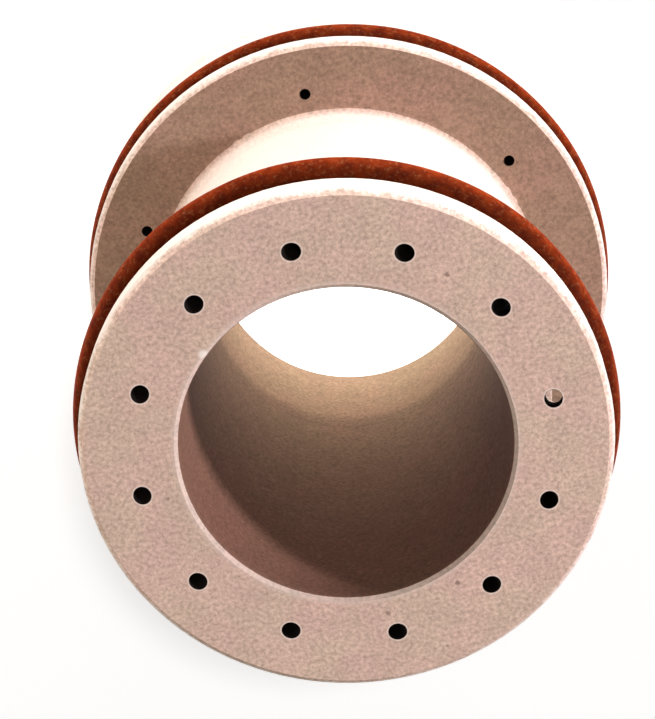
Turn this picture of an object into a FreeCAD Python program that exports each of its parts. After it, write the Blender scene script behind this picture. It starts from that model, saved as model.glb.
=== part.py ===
# Plasma swirl ring: a turned ceramic spool with an O-ring in each flange.
#
# The spool stands on its rear end, so its axis is +Z and its drilled front face
# is up. Z = 0 is the rear end, and the first swirl hole lies on the +X side.
# Gas enters through the feed holes of the rear flange, fills the space round the
# waist between the two O-rings, and leaves through the canted swirl holes of the
# front flange, which make it turn.

import FreeCAD
import Part
import Sketcher

import os

# Driving sizes, in millimetres and degrees.

SIZES = [
    ("overall_length", 30.2, "rear end to front face"),
    ("bore_diameter", 16.0, "straight through bore"),
    ("bore_break", 0.2, "chamfer at both mouths of the bore"),
    ("waist_wall", 2.3, "bore to the narrow middle, between the flanges"),
    ("waist_fillet", 0.7, "radius where the waist meets a flange"),
    ("front_flange_step", 2.5, "waist to the land beside the front O-ring"),
    ("front_flange_width", 5.5, "along the axis"),
    ("rear_flange_step", 4.3, "waist to the land beside the rear O-ring"),
    ("rear_flange_width", 8.1, "along the axis"),
    ("front_break", 0.3, "chamfer round the front side of both flanges"),
    ("back_break", 0.12, "chamfer round the rear side of both flanges"),
    ("gland_width", 2.5, "groove of an O-ring, along the axis"),
    ("gland_corner", 0.2, "bevel left in the corners of a groove's floor"),
    ("front_gland_depth", 1.27, "land to floor of the front groove"),
    ("front_lip_width", 1.75, "front face to front groove"),
    ("rear_gland_depth", 1.53, "land to floor of the rear groove"),
    ("rear_lip_width", 1.1, "rear flange's front side to rear groove"),
    ("cord_diameter", 1.78, "section of both O-rings"),
    ("ring_clearance", 0.03, "O-ring to the floor and wall of its groove"),
    ("swirl_hole_count", 12, "canted holes in the front flange"),
    ("swirl_hole_diameter", 0.85, ""),
    ("swirl_hole_inset", 0.2, "centre of a hole's mouth, inside the waist"),
    ("swirl_cant", 20.0, "lean of a swirl hole along its circle"),
    ("drill_overrun", 1.2, "how far the drill runs past the front flange"),
    ("feed_hole_count", 6, "straight holes through the rear flange"),
    ("feed_hole_diameter", 0.58, ""),
    ("feed_hole_wall", 0.93, "feed hole to the rear groove's floor"),
    ("feed_start", 27.0, "first feed hole, from +X towards +Y"),
]

doc = FreeCAD.newDocument("plasma_swirl_ring")
sheet = doc.addObject("Spreadsheet::Sheet", "Sizes")
for row, (alias, value, meaning) in enumerate(SIZES, start=1):
    sheet.set(f"A{row}", alias)
    sheet.set(f"B{row}", str(value))
    sheet.set(f"C{row}", meaning)
    sheet.setAlias(f"B{row}", alias)
doc.recompute()


def size(alias):
    """The value of one driving size."""
    return float(sheet.get(alias))


# Heights along the axis and radii, as expressions of the driving sizes.

TOP = "Sizes.overall_length"
FRONT_FLANGE_BACK = "Sizes.overall_length - Sizes.front_flange_width"
REAR_FLANGE_FRONT = "Sizes.rear_flange_width"
FRONT_GLAND_TOP = "Sizes.overall_length - Sizes.front_lip_width"
FRONT_GLAND_BACK = "Sizes.overall_length - Sizes.front_lip_width - Sizes.gland_width"
REAR_GLAND_TOP = "Sizes.rear_flange_width - Sizes.rear_lip_width"
REAR_GLAND_BACK = "Sizes.rear_flange_width - Sizes.rear_lip_width - Sizes.gland_width"
BORE = "Sizes.bore_diameter / 2"
WAIST = f"({BORE} + Sizes.waist_wall)"
FRONT_RIM = f"({WAIST} + Sizes.front_flange_step)"
REAR_RIM = f"({WAIST} + Sizes.rear_flange_step)"
FRONT_FLOOR = f"({FRONT_RIM} - Sizes.front_gland_depth)"
REAR_FLOOR = f"({REAR_RIM} - Sizes.rear_gland_depth)"
SWIRL_CIRCLE = f"({WAIST} - Sizes.swirl_hole_inset)"
FEED_CIRCLE = f"({REAR_FLOOR} - Sizes.feed_hole_wall - Sizes.feed_hole_diameter / 2)"

# Ways of working: sketches, edges and patterns.


def origin_feature(body, role):
    """One of the body's own origin planes or axes."""
    for feature in body.Origin.OriginFeatures:
        if feature.Role == role:
            return feature
    raise ValueError(role)


def new_sketch(body, name, role):
    sketch = body.newObject("Sketcher::SketchObject", name)
    sketch.AttachmentSupport = (origin_feature(body, role), "")
    sketch.MapMode = "FlatFace"
    return sketch


def place_point(sketch, geometry, vertex, across, along):
    """Hold one vertex of the sketch at two expressions, from the sketch's origin."""
    for kind, expression in (("DistanceX", across), ("DistanceY", along)):
        if expression == "0":
            axis = {"DistanceX": -2, "DistanceY": -1}[kind]
            sketch.addConstraint(Sketcher.Constraint("PointOnObject", geometry, vertex, axis))
            continue
        index = sketch.addConstraint(
            Sketcher.Constraint(kind, -1, 1, geometry, vertex, 1.0)
        )
        sketch.setExpression(f"Constraints[{index}]", expression)


def outline_sketch(body, name, corners):
    """A closed outline in the XZ plane, through corners (radius, height)."""
    sketch = new_sketch(body, name, "XZ_Plane")
    points = [
        FreeCAD.Vector(
            sheet.evalExpression(across), sheet.evalExpression(along), 0
        )
        for across, along in corners
    ]
    count = len(points)
    for index in range(count):
        sketch.addGeometry(
            Part.LineSegment(points[index], points[(index + 1) % count]), False
        )
    for index in range(count):
        sketch.addConstraint(
            Sketcher.Constraint("Coincident", index, 2, (index + 1) % count, 1)
        )
    for index, (across, along) in enumerate(corners):
        place_point(sketch, index, 1, across, along)
    doc.recompute()
    return sketch


def turned(body, kind, name, corners):
    """Revolve an outline about the axis, to add or to cut."""
    sketch = outline_sketch(body, f"{name}_outline", corners)
    feature = body.newObject(kind, name)
    feature.Profile = sketch
    feature.ReferenceAxis = (sketch, ["V_Axis"])
    feature.Angle = 360.0
    doc.recompute()
    return feature


def circle_edges(feature, places):
    """Names of the round edges at each (radius, height) of places."""
    names = []
    for radius, height in places:
        at = (sheet.evalExpression(radius), sheet.evalExpression(height))
        for number, edge in enumerate(feature.Shape.Edges, start=1):
            if not isinstance(edge.Curve, Part.Circle):
                continue
            here = (edge.Curve.Radius, edge.Curve.Center.z)
            if max(abs(here[0] - at[0]), abs(here[1] - at[1])) < 1e-4:
                names.append(f"Edge{number}")
    return names


def dressed(body, kind, name, base, places, measure, alias):
    """Fillet or chamfer the round edges at places."""
    feature = body.newObject(kind, name)
    feature.Base = (base, circle_edges(base, places))
    feature.setExpression(measure, f"Sizes.{alias}")
    doc.recompute()
    return feature


def repeated(body, name, original, count_alias):
    """Copies of one hole, evenly spaced about the axis."""
    pattern = body.newObject("PartDesign::PolarPattern", name)
    pattern.Originals = [original]
    pattern.Axis = (origin_feature(body, "Z_Axis"), [""])
    pattern.Angle = 360.0
    pattern.setExpression("Occurrences", f"Sizes.{count_alias}")
    body.Tip = pattern
    doc.recompute()
    return pattern


# The ceramic spool, turned from one piece.


def turn_spool(body):
    return turned(body, "PartDesign::Revolution", "spool", [
        (BORE, "0"),
        (REAR_RIM, "0"),
        (REAR_RIM, REAR_FLANGE_FRONT),
        (WAIST, REAR_FLANGE_FRONT),
        (WAIST, FRONT_FLANGE_BACK),
        (FRONT_RIM, FRONT_FLANGE_BACK),
        (FRONT_RIM, TOP),
        (BORE, TOP),
    ])


def cut_gland(body, name, floor, rim, back, top):
    """A square O-ring groove in a flange's rim, cut from just outside the rim."""
    outside = f"{rim} + Sizes.cord_diameter"
    return turned(body, "PartDesign::Groove", name, [
        (floor, back),
        (outside, back),
        (outside, top),
        (floor, top),
    ])


def drill_swirl_hole(body):
    """One canted hole, run from behind the front flange out of its face."""
    depth = "(Sizes.front_flange_width + Sizes.drill_overrun)"
    lean = "(Sizes.swirl_cant * 1 deg)"
    hole = body.newObject("PartDesign::SubtractiveCylinder", "swirl_hole")
    hole.AttachmentSupport = (origin_feature(body, "XY_Plane"), "")
    hole.MapMode = "FlatFace"
    leaning = FreeCAD.Rotation(FreeCAD.Vector(-1, 0, 0), size("swirl_cant"))
    hole.AttachmentOffset = FreeCAD.Placement(FreeCAD.Vector(0, 0, 0), leaning)
    hole.setExpression("Radius", "Sizes.swirl_hole_diameter / 2")
    hole.setExpression("Height", f"({depth} + Sizes.drill_overrun) / cos({lean})")
    hole.setExpression("AttachmentOffset.Base.x", SWIRL_CIRCLE)
    hole.setExpression("AttachmentOffset.Base.y", f"-{depth} * tan({lean})")
    hole.setExpression("AttachmentOffset.Base.z", f"{TOP} - {depth}")
    hole.setExpression("AttachmentOffset.Rotation.Angle", "Sizes.swirl_cant * 1 deg")
    doc.recompute()
    return hole


def drill_feed_hole(body):
    """One straight hole through the rear flange, beside the waist."""
    sketch = new_sketch(body, "feed_hole_outline", "XY_Plane")
    sketch.addGeometry(
        Part.Circle(FreeCAD.Vector(1, 1, 0), FreeCAD.Vector(0, 0, 1), 1.0), False
    )
    start = "(Sizes.feed_start * 1 deg)"
    place_point(
        sketch, 0, 3, f"{FEED_CIRCLE} * cos({start})", f"{FEED_CIRCLE} * sin({start})"
    )
    radius = sketch.addConstraint(Sketcher.Constraint("Radius", 0, 1.0))
    sketch.setExpression(f"Constraints[{radius}]", "Sizes.feed_hole_diameter / 2")
    doc.recompute()
    hole = body.newObject("PartDesign::Pocket", "feed_hole")
    hole.Profile = sketch
    hole.Reversed = True
    hole.setExpression("Length", REAR_FLANGE_FRONT)
    doc.recompute()
    return hole


def make_body():
    body = doc.addObject("PartDesign::Body", "swirl_ring_body")
    turn_spool(body)
    cut_gland(body, "front_gland", FRONT_FLOOR, FRONT_RIM, FRONT_GLAND_BACK, FRONT_GLAND_TOP)
    glands = cut_gland(
        body, "rear_gland", REAR_FLOOR, REAR_RIM, REAR_GLAND_BACK, REAR_GLAND_TOP
    )
    corners = dressed(
        body, "PartDesign::Chamfer", "gland_corners", glands,
        [
            (FRONT_FLOOR, FRONT_GLAND_BACK), (FRONT_FLOOR, FRONT_GLAND_TOP),
            (REAR_FLOOR, REAR_GLAND_BACK), (REAR_FLOOR, REAR_GLAND_TOP),
        ],
        "Size", "gland_corner",
    )
    fillets = dressed(
        body, "PartDesign::Fillet", "waist_fillets", corners,
        [(WAIST, REAR_FLANGE_FRONT), (WAIST, FRONT_FLANGE_BACK)],
        "Radius", "waist_fillet",
    )
    fronts = dressed(
        body, "PartDesign::Chamfer", "front_breaks", fillets,
        [(REAR_RIM, REAR_FLANGE_FRONT), (FRONT_RIM, TOP)],
        "Size", "front_break",
    )
    backs = dressed(
        body, "PartDesign::Chamfer", "back_breaks", fronts,
        [(REAR_RIM, "0"), (FRONT_RIM, FRONT_FLANGE_BACK)],
        "Size", "back_break",
    )
    dressed(
        body, "PartDesign::Chamfer", "bore_breaks", backs,
        [(BORE, "0"), (BORE, TOP)],
        "Size", "bore_break",
    )
    repeated(body, "swirl_holes", drill_swirl_hole(body), "swirl_hole_count")
    repeated(body, "feed_holes", drill_feed_hole(body), "feed_hole_count")
    return body


# The two O-rings, each stretched over its groove's floor and resting against
# the groove's rear wall.


def make_o_ring(name, floor, back):
    ring = doc.addObject("Part::Torus", name)
    ring.setExpression("Radius1", f"{floor} + Sizes.ring_clearance + Sizes.cord_diameter / 2")
    ring.setExpression("Radius2", "Sizes.cord_diameter / 2")
    ring.setExpression(
        "Placement.Base.z", f"{back} + Sizes.ring_clearance + Sizes.cord_diameter / 2"
    )
    doc.recompute()
    return ring


def check(pieces):
    """Stop before anything is written if the model is not whole."""
    for item in doc.Objects:
        if "Invalid" in item.State or "Error" in item.State:
            raise RuntimeError(f"{item.Name} failed: {item.State}")
    for piece in pieces:
        if piece.Shape.isNull() or not piece.Shape.isValid():
            raise RuntimeError(f"{piece.Label} has no valid shape")
        if len(piece.Shape.Solids) != 1:
            raise RuntimeError(f"{piece.Label} is not one solid")


PIECES = [
    make_body(),
    make_o_ring("front_o_ring", FRONT_FLOOR, FRONT_GLAND_BACK),
    make_o_ring("rear_o_ring", REAR_FLOOR, REAR_GLAND_BACK),
]
check(PIECES)

os.makedirs("parts", exist_ok=True)
for piece in PIECES:
    piece.Shape.exportStep(os.path.join("parts", f"{piece.Label}.step"))
    print(piece.Label, round(piece.Shape.Volume, 3), "mm3")
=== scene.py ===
# %% [markdown]
# # A plasma swirl ring
#
# A plasma torch sends its cutting gas through a small spool of machinable lava ceramic. Twelve slanted
# holes in the front flange set the gas spinning, and an O-ring on each flange seals it in the torch.
# The CAD model already has the shape, so this lesson is about the looks: a camera that stands where
# the photographer stood, studio light, the stone, and the two rubber rings.

import math

import bmesh
import bpy
from mathutils import Matrix, Vector, noise


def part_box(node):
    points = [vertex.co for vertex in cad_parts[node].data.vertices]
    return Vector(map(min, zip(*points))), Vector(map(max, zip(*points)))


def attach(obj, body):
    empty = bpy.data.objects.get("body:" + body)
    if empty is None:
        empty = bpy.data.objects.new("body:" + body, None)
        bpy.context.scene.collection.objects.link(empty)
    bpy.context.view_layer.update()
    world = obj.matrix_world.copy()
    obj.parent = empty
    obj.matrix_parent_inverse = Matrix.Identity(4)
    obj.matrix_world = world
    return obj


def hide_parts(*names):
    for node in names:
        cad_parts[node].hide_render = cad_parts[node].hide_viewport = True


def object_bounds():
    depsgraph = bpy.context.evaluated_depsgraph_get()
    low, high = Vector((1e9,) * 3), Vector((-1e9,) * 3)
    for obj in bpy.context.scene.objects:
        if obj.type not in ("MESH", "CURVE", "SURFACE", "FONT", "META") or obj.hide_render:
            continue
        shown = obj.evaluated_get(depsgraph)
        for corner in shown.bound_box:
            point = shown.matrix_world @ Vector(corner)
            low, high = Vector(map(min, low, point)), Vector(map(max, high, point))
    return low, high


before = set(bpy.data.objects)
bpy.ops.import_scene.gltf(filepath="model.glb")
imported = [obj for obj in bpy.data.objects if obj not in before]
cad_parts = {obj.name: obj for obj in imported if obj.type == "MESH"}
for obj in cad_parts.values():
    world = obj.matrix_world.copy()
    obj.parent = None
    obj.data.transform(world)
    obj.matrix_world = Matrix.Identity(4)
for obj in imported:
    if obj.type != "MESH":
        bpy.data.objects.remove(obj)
cad_low, cad_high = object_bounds()
MM = 0.001
print("nodes:", sorted(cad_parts))
print("CAD box in mm:", [round(v / MM, 2) for v in cad_high - cad_low])

# %% [markdown]
# ## The camera
#
# A camera can be placed by eye, or worked out from things that are known to be round. Here the rims,
# the bore and the ring of holes were compared with their outlines in the photograph, which gives one
# place where all of them agree. The photographer looked almost down the bore, twenty degrees off its
# axis. The spool stands upright here, so the camera looks down on it, and its own up points over the
# rear flange.

# %% Camera
EYE_MM = (11.378, 41.685, 132.585)
LOOK = (-0.10138, -0.33921, -0.93523)
PICTURE_UP = (0.23277, 0.90589, -0.35380)
LENS_MM = 116.91
SENSOR_MM = 36.0
CLIP_START_M = 0.01

look = Vector(LOOK).normalized()
right = look.cross(Vector(PICTURE_UP)).normalized()
up = right.cross(look)
turn = Matrix((right, up, -look)).transposed().to_4x4()

camera_data = bpy.data.cameras.new("camera")
camera_data.lens = LENS_MM
camera_data.sensor_width = SENSOR_MM
camera_data.clip_start = CLIP_START_M
camera = bpy.data.objects.new("camera", camera_data)
camera.matrix_world = Matrix.Translation(Vector(EYE_MM) * MM) @ turn
bpy.context.scene.collection.objects.link(camera)
bpy.context.scene.camera = camera
print("camera tilt from the axis:", round(math.degrees((-look).angle(Vector((0, 0, 1)))), 1))

# %% [markdown]
# ## A few small helpers
#
# Paint charts and photographs give colours in sRGB, while a renderer adds light up in linear numbers,
# so every colour below is written as a hex value and turned to linear in one place. Another helper
# adds a shader node, sets its own settings and fills its inputs, with a number or with another
# output. In a colour mix, input 0 is the share, 6 and 7 are the two colours, and output 2 is the mix.

# %% Colours, nodes and pieces
def linear(hex_colour):
    """A hex colour such as C8A898 as linear red, green, blue and a full alpha."""
    parts = [int(hex_colour[i:i + 2], 16) / 255 for i in (0, 2, 4)]
    return (*[p / 12.92 if p <= 0.04045 else ((p + 0.055) / 1.055) ** 2.4 for p in parts], 1.0)


def add(tree, kind, inputs=None, **settings):
    """Adds one node. An input is named or numbered, and takes a value or another node's output."""
    node = tree.nodes.new(kind)
    for name, value in settings.items():
        setattr(node, name, value)
    for name, value in (inputs or {}).items():
        if isinstance(value, bpy.types.NodeSocket):
            tree.links.new(value, node.inputs[name])
        else:
            node.inputs[name].default_value = value
    return node


def new_material(name):
    """An empty node material, its tree and its output node."""
    material = bpy.data.materials.new(name)
    material.use_nodes = True
    material.node_tree.nodes.clear()
    return material, material.node_tree, add(material.node_tree, "ShaderNodeOutputMaterial")


def new_piece(name, bm, material):
    """Turns a bmesh into an object of that name and material. Its place stays in its mesh."""
    mesh = bpy.data.meshes.new(name)
    bm.to_mesh(mesh)
    bm.free()
    made = bpy.data.objects.new(name, mesh)
    made.data.materials.append(material)
    bpy.context.scene.collection.objects.link(made)
    return made


print("white is", linear("FFFFFF")[:3])

# %% [markdown]
# ## The floor
#
# The spool was photographed on white. A white floor that is only lit comes out grey, and more light
# would burn out the object instead. So the card glows a little, but only for rays that come straight
# from the camera or by way of a reflection: it looks white, adds nothing to the object, and still
# takes the object's shadow, because part of its brightness is ordinary lit card.

# %% Floor
FLOOR_SIDE_MM = 1600
FLOOR_DROP_MM = 0.02
CARD_GLOW = 0.42


def seen_directly(tree):
    """1 for a ray from the camera, off something glossy or through something clear, and 0 for others."""
    rays = add(tree, "ShaderNodeLightPath")
    seen = add(tree, "ShaderNodeMath", {
        0: rays.outputs["Is Camera Ray"], 1: rays.outputs["Is Glossy Ray"]}, operation="MAXIMUM")
    seen = add(tree, "ShaderNodeMath", {
        0: seen.outputs[0], 1: rays.outputs["Is Transmission Ray"]}, operation="MAXIMUM")
    return seen.outputs[0]


card, tree, output = new_material("matt_white_card")
glow = add(tree, "ShaderNodeMath", {0: seen_directly(tree), 1: CARD_GLOW}, operation="MULTIPLY")
card_shader = add(tree, "ShaderNodeBsdfPrincipled", {
    "Base Color": linear("F4F4F4"),
    "Roughness": 0.9,
    "Emission Color": linear("FFFFFF"),
    "Emission Strength": glow.outputs[0],
})
tree.links.new(card_shader.outputs[0], output.inputs["Surface"])

bm = bmesh.new()
bmesh.ops.create_grid(bm, x_segments=1, y_segments=1, size=FLOOR_SIDE_MM / 2 * MM)
bmesh.ops.translate(bm, verts=bm.verts, vec=(0, 0, -FLOOR_DROP_MM * MM))
floor = new_piece("floor", bm, card)
print("floor:", FLOOR_SIDE_MM, "mm square")

# %% [markdown]
# ## The light under the bore
#
# In the photograph the bore opens onto a bright white background, which lights the far end of its
# wall and leaves the near end dark. Here the spool stands on the floor, so a round light panel lies on
# the floor under the bore in place of that background. It is a part of the studio, not of the object.

# %% Light panel
PANEL_RADIUS_MM = 8.3
PANEL_DROP_MM = 0.005
PANEL_LEVEL = 2.7
PANEL_SIDES = 96

panel_material, tree, output = new_material("light_panel")
panel_light = add(tree, "ShaderNodeEmission", {"Color": linear("FFFDFA"), "Strength": PANEL_LEVEL})
tree.links.new(panel_light.outputs[0], output.inputs["Surface"])

bm = bmesh.new()
bmesh.ops.create_circle(bm, cap_ends=True, segments=PANEL_SIDES, radius=PANEL_RADIUS_MM * MM)
bmesh.ops.translate(bm, verts=bm.verts, vec=(0, 0, -PANEL_DROP_MM * MM))
panel = new_piece("light_panel", bm, panel_material)
print("light panel:", PANEL_RADIUS_MM, "mm in radius")

# %% [markdown]
# ## The lamps
#
# Soft light comes from lamps that are large next to the object. Each lamp below is named by where it
# stands or what it does, and its level is the share of full white that a white card facing it would
# show, so the levels can be compared. A long lamp level with the spool lights the waist and the rims
# from the picture's top, with a weaker one at its left. A large one on the other side lights the front
# face without reaching into the bore. Of two small ones, the first gives the shadow its side, and the
# second, the window, gives the bore its pale crescent.

# %% Lamps
PICTURE_TOP_DEG = 75.5


def lamp(name, bearing, elevation, distance, width, height, level, hex_colour):
    """An area lamp facing the spool. Degrees, with the bearing from the picture's top, and mm."""
    around = math.radians(PICTURE_TOP_DEG + bearing)
    rise = math.radians(elevation)
    middle = Vector((0, 0, (cad_low.z + cad_high.z) / 2))
    out = Vector((math.cos(rise) * math.cos(around), math.cos(rise) * math.sin(around), math.sin(rise)))
    data = bpy.data.lights.new(name, "AREA")
    data.shape = "RECTANGLE"
    data.size = width * MM
    data.size_y = height * MM
    data.energy = level * (math.pi * distance * MM) ** 2
    data.color = linear(hex_colour)[:3]
    made = bpy.data.objects.new(name, data)
    made.rotation_euler = out.to_track_quat("Z", "Y").to_euler()
    made.location = middle + out * distance * MM
    made.visible_camera = False
    bpy.context.scene.collection.objects.link(made)
    print(name, "power", round(data.energy, 3), "W")
    return made


lamp("level_key", -16, 0, 300, 460, 24, 1.6, "F6F8FF")
lamp("level_left", 66, 0, 300, 200, 24, 0.75, "FFF8F2")
lamp("face_fill", 158, 74, 330, 180, 180, 0.31, "FFFCFA")
lamp("top_light", -12, 64, 420, 34, 34, 0.28, "FFFEFA")
window = lamp("window", -78, 24.4, 420, 46, 46, 1.08, "F2F0FF")

# %% [markdown]
# The window lamp stands low and would throw a long shadow across the white floor, which the
# photograph doesn't have. A photographer sets up a flag, a black card that keeps one lamp off one
# thing. Blender's light linking does the same: the floor is in a collection that this lamp leaves out.

# %% Flag
flagged = bpy.data.collections.new("kept_out_of_the_window_light")
flagged.objects.link(floor)
window.light_linking.receiver_collection = flagged
flagged.collection_objects[0].light_linking.link_state = "EXCLUDE"

# %% [markdown]
# The world is the room: a pale, even light that keeps the shadows open. Where the camera looks past
# the floor it shows white, by the same trick as on the card.

# %% World
ROOM_LEVEL = 0.08

world = bpy.data.worlds.new("room")
world.use_nodes = True
tree = world.node_tree
tree.nodes.clear()
strength = add(tree, "ShaderNodeMapRange", {
    "Value": seen_directly(tree), "To Min": ROOM_LEVEL, "To Max": 1.0})
room = add(tree, "ShaderNodeBackground", {
    "Color": linear("FFFFFF"), "Strength": strength.outputs[0]})
add(tree, "ShaderNodeOutputWorld", {"Surface": room.outputs[0]})
bpy.context.scene.world = world
bpy.context.scene.view_settings.view_transform = "Standard"
print("room level:", ROOM_LEVEL)

# %% [markdown]
# ## The stone
#
# Machinable lava is a fine-grained alumina silicate: it is turned soft like chalk and then fired hard.
# Fired stone is dull, a pinkish beige, faintly clouded over a few millimetres, and sandy close up.
# An image would fix these to one unwrapping, so three noises of different sizes are worked out from
# the place on the object instead, in millimetres: wide clouds, a mottle of about a millimetre, and the
# grain, drawn coarser than the real one so that it shows.

# %% Lava ceramic: place, clouds, mottle and grain
CLOUD_MM = 3.0
CLOUD_COLOURS = ("CAA998", "C6AA96")
MOTTLE_MM = 1.1
MOTTLE_LEVELS = (0.95, 1.05)
GRAIN_MM = 0.2
GRAIN_LEVELS = (0.7, 1.26)


def place_in_mm(tree):
    """The place on the object in millimetres, and the same place split into X, Y and Z."""
    place = add(tree, "ShaderNodeTexCoord").outputs["Object"]
    in_mm = add(tree, "ShaderNodeVectorMath", {"Vector": place, "Scale": 1 / MM}, operation="SCALE")
    split = add(tree, "ShaderNodeSeparateXYZ", {"Vector": in_mm.outputs[0]})
    return in_mm.outputs[0], split.outputs


stone, tree, stone_output = new_material("machined_lava_ceramic")
place_mm, parts = place_in_mm(tree)
clouds = add(tree, "ShaderNodeTexNoise", {
    "Vector": place_mm, "Scale": 1 / CLOUD_MM, "Detail": 2.0})
cloud_share = add(tree, "ShaderNodeMapRange", {
    "Value": clouds.outputs[0], "From Min": 0.38, "From Max": 0.62})
cloudy = add(tree, "ShaderNodeMix", {
    0: cloud_share.outputs[0], 6: linear(CLOUD_COLOURS[0]), 7: linear(CLOUD_COLOURS[1])},
    data_type="RGBA")
mottle = add(tree, "ShaderNodeTexNoise", {
    "Vector": place_mm, "Scale": 1 / MOTTLE_MM, "Detail": 1.0})
mottle_level = add(tree, "ShaderNodeMapRange", {
    "Value": mottle.outputs[0], "From Min": 0.3, "From Max": 0.7,
    "To Min": MOTTLE_LEVELS[0], "To Max": MOTTLE_LEVELS[1]})
grain = add(tree, "ShaderNodeTexNoise", {
    "Vector": place_mm, "Scale": 1 / GRAIN_MM, "Detail": 3.0, "Roughness": 0.65})
grain_level = add(tree, "ShaderNodeMapRange", {
    "Value": grain.outputs[0], "From Min": 0.3, "From Max": 0.7,
    "To Min": GRAIN_LEVELS[0], "To Max": GRAIN_LEVELS[1]})
level = add(tree, "ShaderNodeMath", {
    0: mottle_level.outputs[0], 1: grain_level.outputs[0]}, operation="MULTIPLY")
sandy = add(tree, "ShaderNodeVectorMath", {
    0: cloudy.outputs[2], 3: level.outputs[0]}, operation="SCALE")
print("stone grain:", GRAIN_MM, "mm")

# %% [markdown]
# Distance from the axis and height tell the shader where it is on the spool. The turned outside is
# painted pale, partly as rubbed wear and partly as a painted highlight: the rims of both flanges, a
# ragged band where a rim meets a flange's face, the mouth of the bore, and the waist. Some of the mottle
# and grain moves the border, so a band isn't a perfect line.

# %% Lava ceramic: rims and mouth, rubbed and painted with a highlight
FRONT_RIM_MM = 12.8
REAR_RIM_MM = 14.6
BORE_MM = 8.0
FACE_HEIGHT_MM = 30.2
BETWEEN_FLANGES_MM = 20.0
PALE_BAND_MM = 0.32
MOTTLE_IN_BORDER = 0.6
MOUTH_RUB_AND_HIGHLIGHT = 0.3

flat = add(tree, "ShaderNodeCombineXYZ", {"X": parts["X"], "Y": parts["Y"]})
radius = add(tree, "ShaderNodeVectorMath", {0: flat.outputs[0]}, operation="LENGTH").outputs["Value"]
height = parts["Z"]
ragged = add(tree, "ShaderNodeMath", {
    0: mottle.outputs[0], 1: MOTTLE_IN_BORDER, 2: grain.outputs[0]}, operation="MULTIPLY_ADD")
wobble = add(tree, "ShaderNodeMapRange", {
    "Value": ragged.outputs[0], "From Min": 0.5, "From Max": 1.1,
    "To Min": -0.4 * PALE_BAND_MM, "To Max": 0.4 * PALE_BAND_MM})
rough_radius = add(tree, "ShaderNodeMath", {0: radius, 1: wobble.outputs[0]}, operation="ADD")
on_front = add(tree, "ShaderNodeMath", {0: height, 1: BETWEEN_FLANGES_MM}, operation="GREATER_THAN")
rim = add(tree, "ShaderNodeMapRange", {
    "Value": on_front.outputs[0], "To Min": REAR_RIM_MM, "To Max": FRONT_RIM_MM})
to_rim = add(tree, "ShaderNodeMath", {
    0: rim.outputs[0], 1: rough_radius.outputs[0]}, operation="SUBTRACT")
# painted pale at each flange's rim: partly rubbed wear, partly painted highlight
rim_rub_and_highlight = add(tree, "ShaderNodeMapRange", {
    "Value": to_rim.outputs[0], "From Min": 0.6 * PALE_BAND_MM, "From Max": 0.1 * PALE_BAND_MM})
from_bore = add(tree, "ShaderNodeMath", {
    0: rough_radius.outputs[0], 1: BORE_MM}, operation="SUBTRACT")
# painted pale at the bore's mouth: partly rubbed wear, partly painted highlight
bore_edge_rub_and_highlight = add(tree, "ShaderNodeMapRange", {
    "Value": from_bore.outputs[0], "From Min": 1.2 * PALE_BAND_MM, "From Max": 0.6 * PALE_BAND_MM,
    "To Max": MOUTH_RUB_AND_HIGHLIGHT})
near_face = add(tree, "ShaderNodeMapRange", {
    "Value": height, "From Min": FACE_HEIGHT_MM - 2 * PALE_BAND_MM, "From Max": FACE_HEIGHT_MM - PALE_BAND_MM})
mouth_rub_and_highlight = add(tree, "ShaderNodeMath", {
    0: bore_edge_rub_and_highlight.outputs[0], 1: near_face.outputs[0]}, operation="MULTIPLY")
print("rubbed band:", PALE_BAND_MM, "mm")

# %% Lava ceramic: waist, rubbed and painted with a highlight
FLANGE_HEIGHT_MM = 8.1
FLANGE_BACK_MM = FACE_HEIGHT_MM - 5.52
INSIDE_WAIST_MM = 9.6
FILLET_START_MM = 0.02
FILLET_END_MM = 0.2
FILLET_RUB_AND_HIGHLIGHT = 0.85
WAIST_START_MM = 0.5
WAIST_END_MM = 1.4
WAIST_RUBS_AND_HIGHLIGHT = (0.75, 0.95)
RUB_AND_HIGHLIGHT_SHARE = 0.8

# painted pale along the waist and its fillet: partly rubbed wear, partly painted highlight
up_fillet = add(tree, "ShaderNodeMapRange", {
    "Value": height, "From Min": FLANGE_HEIGHT_MM + FILLET_START_MM,
    "From Max": FLANGE_HEIGHT_MM + FILLET_END_MM, "To Max": FILLET_RUB_AND_HIGHLIGHT})
up_waist = add(tree, "ShaderNodeMapRange", {
    "Value": height, "From Min": FLANGE_HEIGHT_MM + WAIST_START_MM,
    "From Max": FLANGE_HEIGHT_MM + WAIST_END_MM, "To Min": WAIST_RUBS_AND_HIGHLIGHT[0], "To Max": WAIST_RUBS_AND_HIGHLIGHT[1]})
outside = add(tree, "ShaderNodeMath", {0: radius, 1: INSIDE_WAIST_MM}, operation="GREATER_THAN")
below_front = add(tree, "ShaderNodeMath", {0: height, 1: FLANGE_BACK_MM}, operation="LESS_THAN")
between = add(tree, "ShaderNodeMath", {
    0: outside.outputs[0], 1: below_front.outputs[0]}, operation="MULTIPLY")
waist_rub_and_highlight = add(tree, "ShaderNodeMath", {
    0: up_fillet.outputs[0], 1: up_waist.outputs[0]}, operation="MULTIPLY")
waist_rub_and_highlight = add(tree, "ShaderNodeMath", {
    0: waist_rub_and_highlight.outputs[0], 1: between.outputs[0]}, operation="MULTIPLY")
rub_and_highlight = add(tree, "ShaderNodeMath", {
    0: rim_rub_and_highlight.outputs[0], 1: mouth_rub_and_highlight.outputs[0]}, operation="MAXIMUM")
rub_and_highlight = add(tree, "ShaderNodeMath", {0: rub_and_highlight.outputs[0], 1: waist_rub_and_highlight.outputs[0]}, operation="MAXIMUM")
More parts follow.
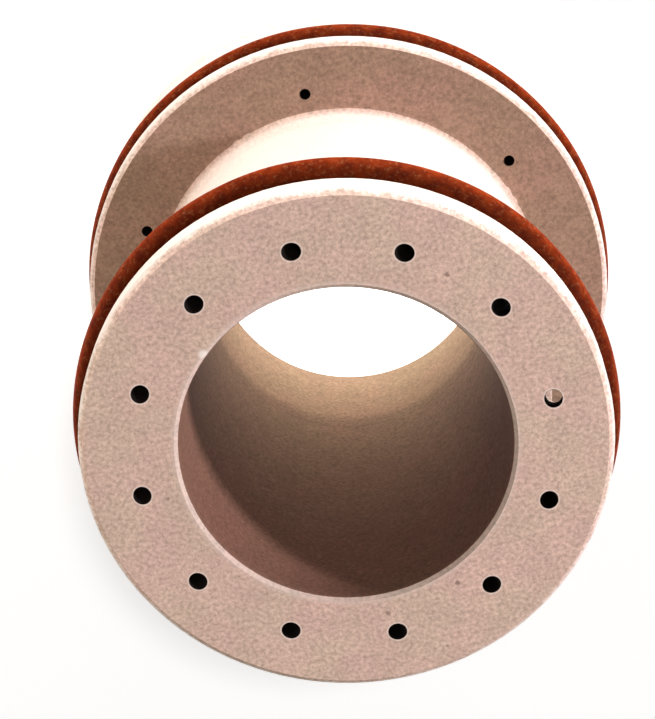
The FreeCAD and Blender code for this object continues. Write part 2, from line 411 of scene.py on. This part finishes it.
rub_and_highlight_share = add(tree, "ShaderNodeMath", {0: rub_and_highlight.outputs[0], 1: RUB_AND_HIGHLIGHT_SHARE}, operation="MULTIPLY")
# the pale colour E6D8CB is mixed in here: rubbed wear and painted highlight together
rubbed_and_highlit = add(tree, "ShaderNodeMix", {
    0: rub_and_highlight_share.outputs[0], 6: sandy.outputs[0], 7: linear("E6D8CB")}, data_type="RGBA")
print("rubbed waist from", INSIDE_WAIST_MM, "mm off the axis")

# %% [markdown]
# Two surfaces are painted darker than the rest, as painted shade. The wall of the bore is painted
# browner, most of all towards the front; its last few millimetres at the rear are painted pale, as
# painted light, with a soft border. The front side of the rear flange lies in the space that the gas
# fills, and is painted a little browner too, as painted shade.

# %% Lava ceramic: painted shade and light on the bore, painted shade on the rear flange
WALL_MM = 8.02
WALL_SHADE_FRONT = "A48A7E"
WALL_SHADE_REAR = "C2BEAC"
WALL_SHADE_START_MM = 2.0
WALL_SHADE_END_MM = 24.0
PALE_END_MM = 6.8
PALE_BORDER_MM = 0.5
PALE_END_LEVEL = 1.4
REAR_FACE_SHADE = "C2B8AE"
SAME_HEIGHT_MM = 0.02

# painted shade: the bore's wall darkens towards the front, and its rear end is painted lighter
on_wall = add(tree, "ShaderNodeMath", {0: radius, 1: WALL_MM}, operation="LESS_THAN")
up_wall = add(tree, "ShaderNodeMapRange", {
    "Value": height, "From Min": WALL_SHADE_START_MM, "From Max": WALL_SHADE_END_MM})
wall_shade = add(tree, "ShaderNodeMix", {
    0: up_wall.outputs[0], 6: linear(WALL_SHADE_REAR), 7: linear(WALL_SHADE_FRONT)}, data_type="RGBA")
pale_end = add(tree, "ShaderNodeMapRange", {
    "Value": height, "From Min": PALE_END_MM - PALE_BORDER_MM,
    "From Max": PALE_END_MM + PALE_BORDER_MM, "To Min": PALE_END_LEVEL, "To Max": 1.0})
wall_shade = add(tree, "ShaderNodeVectorMath", {
    0: wall_shade.outputs[2], 3: pale_end.outputs[0]}, operation="SCALE")
shaded_wall = add(tree, "ShaderNodeVectorMath", {
    0: rubbed_and_highlit.outputs[2], 1: wall_shade.outputs[0]}, operation="MULTIPLY")
walled = add(tree, "ShaderNodeMix", {
    0: on_wall.outputs[0], 6: rubbed_and_highlit.outputs[2], 7: shaded_wall.outputs[0]}, data_type="RGBA")
# painted shade on the front side of the rear flange
on_rear_face = add(tree, "ShaderNodeMath", {
    0: height, 1: FLANGE_HEIGHT_MM, 2: SAME_HEIGHT_MM}, operation="COMPARE")
rear_face_shade = add(tree, "ShaderNodeMix", {
    0: on_rear_face.outputs[0], 6: linear("FFFFFF"), 7: linear(REAR_FACE_SHADE)}, data_type="RGBA")
walled = add(tree, "ShaderNodeVectorMath", {
    0: walled.outputs[2], 1: rear_face_shade.outputs[2]}, operation="MULTIPLY")
print("the bore's wall is pale up to", PALE_END_MM, "mm")

# %% [markdown]
# The gas holes are less than a millimetre wide and several deep, so almost no light comes back out of
# them. Their shade is painted in as near-black dots, with a faint pale edge as a painted highlight
# around the swirl holes on the front face. The shader finds them as the drill did: it turns to the
# nearest hole of the ring, follows its slant down, and measures the distance from its middle.

# %% Lava ceramic: gas holes
SWIRL_CIRCLE_MM = 10.1
SWIRL_HOLE_MM = 0.85
SWIRL_CANT_DEG = 20.0
SWIRL_PITCH_DEG = 30.0
FEED_CIRCLE_MM = 11.85
FEED_HOLE_MM = 0.58
FEED_START_DEG = 27.0
FEED_PITCH_DEG = 60.0
HOLE_EDGE_MM = 0.02
PALE_RING_MM = 0.07


def hole_distance(circle, start_deg, pitch_deg, cant_deg):
    """How far, in mm, a point lies from the axis of the nearest hole of a ring of holes."""
    pitch = math.radians(pitch_deg)
    start = math.radians(start_deg)
    cant = math.radians(cant_deg)
    around = add(tree, "ShaderNodeMath", {0: parts["Y"], 1: parts["X"]}, operation="ARCTAN2")
    count = add(tree, "ShaderNodeMath", {0: around.outputs[0], 1: start}, operation="SUBTRACT")
    count = add(tree, "ShaderNodeMath", {0: count.outputs[0], 1: pitch}, operation="DIVIDE")
    nearest = add(tree, "ShaderNodeMath", {0: count.outputs[0]}, operation="ROUND")
    past = add(tree, "ShaderNodeMath", {
        0: count.outputs[0], 1: nearest.outputs[0]}, operation="SUBTRACT")
    past = add(tree, "ShaderNodeMath", {0: past.outputs[0], 1: pitch}, operation="MULTIPLY")
    cosine = add(tree, "ShaderNodeMath", {0: past.outputs[0]}, operation="COSINE")
    sine = add(tree, "ShaderNodeMath", {0: past.outputs[0]}, operation="SINE")
    outward = add(tree, "ShaderNodeMath", {0: radius, 1: cosine.outputs[0]}, operation="MULTIPLY")
    outward = add(tree, "ShaderNodeMath", {0: outward.outputs[0], 1: circle}, operation="SUBTRACT")
    sideways = add(tree, "ShaderNodeMath", {0: radius, 1: sine.outputs[0]}, operation="MULTIPLY")
    depth = add(tree, "ShaderNodeMath", {0: FACE_HEIGHT_MM, 1: height}, operation="SUBTRACT")
    sideways = add(tree, "ShaderNodeMath", {
        0: depth.outputs[0], 1: math.tan(cant), 2: sideways.outputs[0]}, operation="MULTIPLY_ADD")
    sideways = add(tree, "ShaderNodeMath", {
        0: sideways.outputs[0], 1: math.cos(cant)}, operation="MULTIPLY")
    apart = add(tree, "ShaderNodeCombineXYZ", {"X": outward.outputs[0], "Y": sideways.outputs[0]})
    length = add(tree, "ShaderNodeVectorMath", {0: apart.outputs[0]}, operation="LENGTH")
    return length.outputs["Value"]


def hole_mask(distance, diameter, over):
    """1 inside a hole of that diameter where over is 1, and 0 elsewhere."""
    inside = add(tree, "ShaderNodeMapRange", {
        "Value": distance, "From Min": diameter / 2 + HOLE_EDGE_MM,
        "From Max": diameter / 2 + HOLE_EDGE_MM / 2})
    return add(tree, "ShaderNodeMath", {0: inside.outputs[0], 1: over}, operation="MULTIPLY").outputs[0]


swirl_distance = hole_distance(SWIRL_CIRCLE_MM, 0, SWIRL_PITCH_DEG, SWIRL_CANT_DEG)
feed_distance = hole_distance(FEED_CIRCLE_MM, FEED_START_DEG, FEED_PITCH_DEG, 0)
in_flange = add(tree, "ShaderNodeMath", {0: height, 1: FLANGE_BACK_MM}, operation="GREATER_THAN")
on_rear = add(tree, "ShaderNodeMath", {0: 1.0, 1: on_front.outputs[0]}, operation="SUBTRACT")
# painted shade: the swirl holes in the front flange and the feed holes in the rear flange are coloured
# near black below
swirl = hole_mask(swirl_distance, SWIRL_HOLE_MM, in_flange.outputs[0])
feed = hole_mask(feed_distance, FEED_HOLE_MM, on_rear.outputs[0])
in_hole = add(tree, "ShaderNodeMath", {0: swirl, 1: feed}, operation="MAXIMUM")
# painted highlight: a pale edge round the swirl holes at the front face
pale_ring = hole_mask(swirl_distance, SWIRL_HOLE_MM + 2 * PALE_RING_MM, near_face.outputs[0])
print("hole rings:", int(360 / SWIRL_PITCH_DEG), "and", int(360 / FEED_PITCH_DEG))

# %% [markdown]
# A few dark grains are scattered in the stone. A cell pattern gives each grain a middle, and its
# random number picks the few cells that hold one. Three larger ones on the front face are placed one
# by one, where this one spool has them, and so is a pale spot in the bore's mouth, a painted glint.

# %% Lava ceramic: dark grains, marks and a painted glint
SPECK_SPACING_MM = 1.1
SPECK_MM = 0.13
SPECK_CORE = 0.03
SPECK_RARITY = 0.86
SPECK_SHARE = 0.55
PALE_RING_SHARE = 0.45
MARK_MM = 0.16
MARK_PLACES_MM = ((-0.22, -9.0, 30.2), (3.43, -8.25, 30.2), (6.69, 7.21, 30.2))
GLINT_MM = 0.3
GLINT_PLACE_MM = (-5.3, 6.25, 30.2)
MARK_WOBBLE = 0.4


def mark(middle, size):
    """1 at a point of the stone, fading to 0 at a ragged distance from it."""
    away = add(tree, "ShaderNodeVectorMath", {0: place_mm, 1: middle}, operation="DISTANCE")
    away = add(tree, "ShaderNodeMath", {
        0: wobble.outputs[0], 1: MARK_WOBBLE, 2: away.outputs["Value"]}, operation="MULTIPLY_ADD")
    return add(tree, "ShaderNodeMapRange", {
        "Value": away.outputs[0], "From Min": size, "From Max": size / 2}).outputs[0]


cells = add(tree, "ShaderNodeTexVoronoi", {"Vector": place_mm, "Scale": 1 / SPECK_SPACING_MM})
cell_number = add(tree, "ShaderNodeSeparateColor", {"Color": cells.outputs["Color"]})
chosen = add(tree, "ShaderNodeMath", {
    0: cell_number.outputs[0], 1: SPECK_RARITY}, operation="GREATER_THAN")
inside = add(tree, "ShaderNodeMapRange", {
    "Value": cells.outputs["Distance"], "From Min": SPECK_MM / SPECK_SPACING_MM,
    "From Max": SPECK_CORE})
speck = add(tree, "ShaderNodeMath", {
    0: chosen.outputs[0], 1: inside.outputs[0]}, operation="MULTIPLY")
for middle in MARK_PLACES_MM:
    speck = add(tree, "ShaderNodeMath", {
        0: speck.outputs[0], 1: mark(middle, MARK_MM)}, operation="MAXIMUM")
speck_share = add(tree, "ShaderNodeMath", {0: speck.outputs[0], 1: SPECK_SHARE}, operation="MULTIPLY")
pale_share = add(tree, "ShaderNodeMath", {0: pale_ring, 1: PALE_RING_SHARE}, operation="MULTIPLY")
coloured = walled.outputs[0]
# mixed in: a painted highlight round the holes, a painted glint in the bore's mouth, dark grains, and
# painted shade in the holes
for share, colour in (
    (pale_share.outputs[0], "E6D6C8"),
    (mark(GLINT_PLACE_MM, GLINT_MM), "E8DACC"),
    (speck_share.outputs[0], "5A463A"),
    (in_hole.outputs[0], "120C09"),
):
    coloured = add(tree, "ShaderNodeMix", {0: share, 6: coloured, 7: linear(colour)},
                   data_type="RGBA").outputs[2]
print("marks placed by hand:", len(MARK_PLACES_MM))

# %% [markdown]
# A tool that turns a face leaves fine rings on it, and a fired grain stands a little proud. Both are too
# low to model, so they only bend the light. The photograph doesn't show how close the rings are, so six
# to the millimetre is a guess.

# %% Lava ceramic: relief and shader
TOOL_RINGS_PER_MM = 6.0
TOOL_RING_SHARE = 0.25
RELIEF_MM = 0.03

ring_number = add(tree, "ShaderNodeMath", {0: radius, 1: TOOL_RINGS_PER_MM}, operation="MULTIPLY")
tool_rings = add(tree, "ShaderNodeTexNoise", {
    "W": ring_number.outputs[0], "Scale": 1.0, "Detail": 1.0}, noise_dimensions="1D")
relief = add(tree, "ShaderNodeMath", {
    0: tool_rings.outputs[0], 1: TOOL_RING_SHARE, 2: grain.outputs[0]}, operation="MULTIPLY_ADD")
bump = add(tree, "ShaderNodeBump", {
    "Height": relief.outputs[0], "Strength": 0.5, "Distance": RELIEF_MM * MM})
stone_shader = add(tree, "ShaderNodeBsdfPrincipled", {
    "Base Color": coloured,
    "Roughness": 0.82,
    "IOR": 1.5,
    "Specular IOR Level": 0.1,
    "Normal": bump.outputs[0],
})
tree.links.new(stone_shader.outputs[0], stone_output.inputs["Surface"])

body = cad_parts["swirl_ring_body"]
for slot in body.material_slots:
    slot.material = stone
print("stone on", len(body.material_slots), "slots of the body")

# %% [markdown]
# ## The rubber
#
# The O-rings are taken to be compression-moulded fluorocarbon rubber, coloured brown-red with iron
# oxide. The rubber is dull, hardly shines at all, and picks up pale stone dust. Each cord is painted
# lighter on its rear side and darker on its front side: painted light and shade.

# %% Fluorocarbon rubber
DUST_MM = 0.2
BLUSH_MM = 0.5
FRONT_RING_MM = 26.87
REAR_RING_MM = 5.42
BETWEEN_RINGS_MM = 15.0
CORD_SHADE_START_MM = -0.35
CORD_SHADE_END_MM = 0.7
CORD_LIGHT_AND_SHADE_LEVELS = (1.9, 0.45)
DUST_SHARE = 0.45
SKIN_MM = 0.03

rubber, tree, rubber_output = new_material("moulded_fluorocarbon_rubber")
place_mm, parts = place_in_mm(tree)
blush = add(tree, "ShaderNodeTexNoise", {
    "Vector": place_mm, "Scale": 1 / BLUSH_MM, "Detail": 3.0})
blush_share = add(tree, "ShaderNodeMapRange", {
    "Value": blush.outputs[0], "From Min": 0.35, "From Max": 0.65})
red = add(tree, "ShaderNodeMix", {
    0: blush_share.outputs[0], 6: linear("5A1A06"), 7: linear("78280A")}, data_type="RGBA")
dust = add(tree, "ShaderNodeTexNoise", {
    "Vector": place_mm, "Scale": 1 / DUST_MM, "Detail": 4.0, "Roughness": 0.7})
dust_share = add(tree, "ShaderNodeMapRange", {
    "Value": dust.outputs[0], "From Min": 0.52, "From Max": 0.78, "To Max": DUST_SHARE})
dust_and_shade = add(tree, "ShaderNodeMix", {
    0: dust_share.outputs[0], 6: red.outputs[2], 7: linear("B57448")}, data_type="RGBA")
on_front = add(tree, "ShaderNodeMath", {
    0: parts["Z"], 1: BETWEEN_RINGS_MM}, operation="GREATER_THAN")
ring_height = add(tree, "ShaderNodeMapRange", {
    "Value": on_front.outputs[0], "To Min": REAR_RING_MM, "To Max": FRONT_RING_MM})
forward = add(tree, "ShaderNodeMath", {
    0: parts["Z"], 1: ring_height.outputs[0]}, operation="SUBTRACT")
# painted light and shade: each cord is lighter on its rear side and darker on its front side
cord_light_and_shade = add(tree, "ShaderNodeMapRange", {
    "Value": forward.outputs[0], "From Min": CORD_SHADE_START_MM, "From Max": CORD_SHADE_END_MM,
    "To Min": CORD_LIGHT_AND_SHADE_LEVELS[0], "To Max": CORD_LIGHT_AND_SHADE_LEVELS[1]})
dust_and_shade = add(tree, "ShaderNodeVectorMath", {
    0: dust_and_shade.outputs[2], 3: cord_light_and_shade.outputs[0]}, operation="SCALE")
skin = add(tree, "ShaderNodeBump", {
    "Height": dust.outputs[0], "Strength": 0.4, "Distance": SKIN_MM * MM})
rubber_shader = add(tree, "ShaderNodeBsdfPrincipled", {
    "Base Color": dust_and_shade.outputs[0],
    "Roughness": 0.65,
    "IOR": 1.5,
    "Specular IOR Level": 0.02,
    "Normal": skin.outputs[0],
})
tree.links.new(rubber_shader.outputs[0], rubber_output.inputs["Surface"])
print("rubber dust:", DUST_MM, "mm")

# %% [markdown]
# ## The O-rings
#
# An O-ring is a round cord bent into a circle, so its section is spun about the axis. The two halves
# of its mould meet at the outer equator and leave a parting line there, a low ridge that a perfect
# torus doesn't have. The cord also never sits perfectly even in its groove, so it wavers by a few
# hundredths.

# %% O-rings
CORD_RADIUS_MM = 0.89
CORD_SIDES = 36
RING_STEPS = 320
PARTING_RIDGE_MM = 0.03
WAVER_MM = 0.03
OUTWARD_WAVES = 2.5
UPWARD_WAVES = 2
UPWARD_SHIFT = 9
MERGE_MM = 0.001


def o_ring(name, node, seed):
    """A moulded O-ring in the place of a CAD node, with a parting ridge and a slight waver."""
    low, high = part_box(node)
    middle_radius = high.x - CORD_RADIUS_MM * MM
    bm = bmesh.new()
    bmesh.ops.create_circle(bm, cap_ends=False, segments=CORD_SIDES, radius=CORD_RADIUS_MM * MM)
    bmesh.ops.rotate(bm, verts=bm.verts, cent=(0, 0, 0), matrix=Matrix.Rotation(math.pi / 2, 3, "X"))
    for vert in bm.verts:
        from_equator = abs(math.atan2(vert.co.z, abs(vert.co.x)))
        if from_equator < math.pi / CORD_SIDES:
            vert.co *= 1 + PARTING_RIDGE_MM / CORD_RADIUS_MM
    bmesh.ops.translate(bm, verts=bm.verts, vec=(middle_radius, 0, (low.z + high.z) / 2))
    bmesh.ops.spin(bm, geom=bm.verts[:] + bm.edges[:], cent=(0, 0, 0), axis=(0, 0, 1),
                   angle=2 * math.pi, steps=RING_STEPS, use_merge=True)
    for vert in bm.verts:
        out = Vector((vert.co.x, vert.co.y, 0)).normalized()
        sideways = noise.noise(out * OUTWARD_WAVES + Vector((0, 0, seed)))
        rise = noise.noise(out * UPWARD_WAVES + Vector((UPWARD_SHIFT, 0, seed)))
        vert.co += (out * sideways + Vector((0, 0, rise))) * WAVER_MM * MM
    bmesh.ops.remove_doubles(bm, verts=bm.verts, dist=MERGE_MM * MM)
    bmesh.ops.recalc_face_normals(bm, faces=bm.faces)
    for face in bm.faces:
        face.smooth = True
    made = new_piece(name, bm, rubber)
    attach(made, "root")
    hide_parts(node)
    print(name, "faces", len(made.data.polygons), "middle radius", round(middle_radius / MM, 3), "mm")


o_ring("front_rubber_ring", "front_o_ring", 1)
o_ring("rear_rubber_ring", "rear_o_ring", 2)
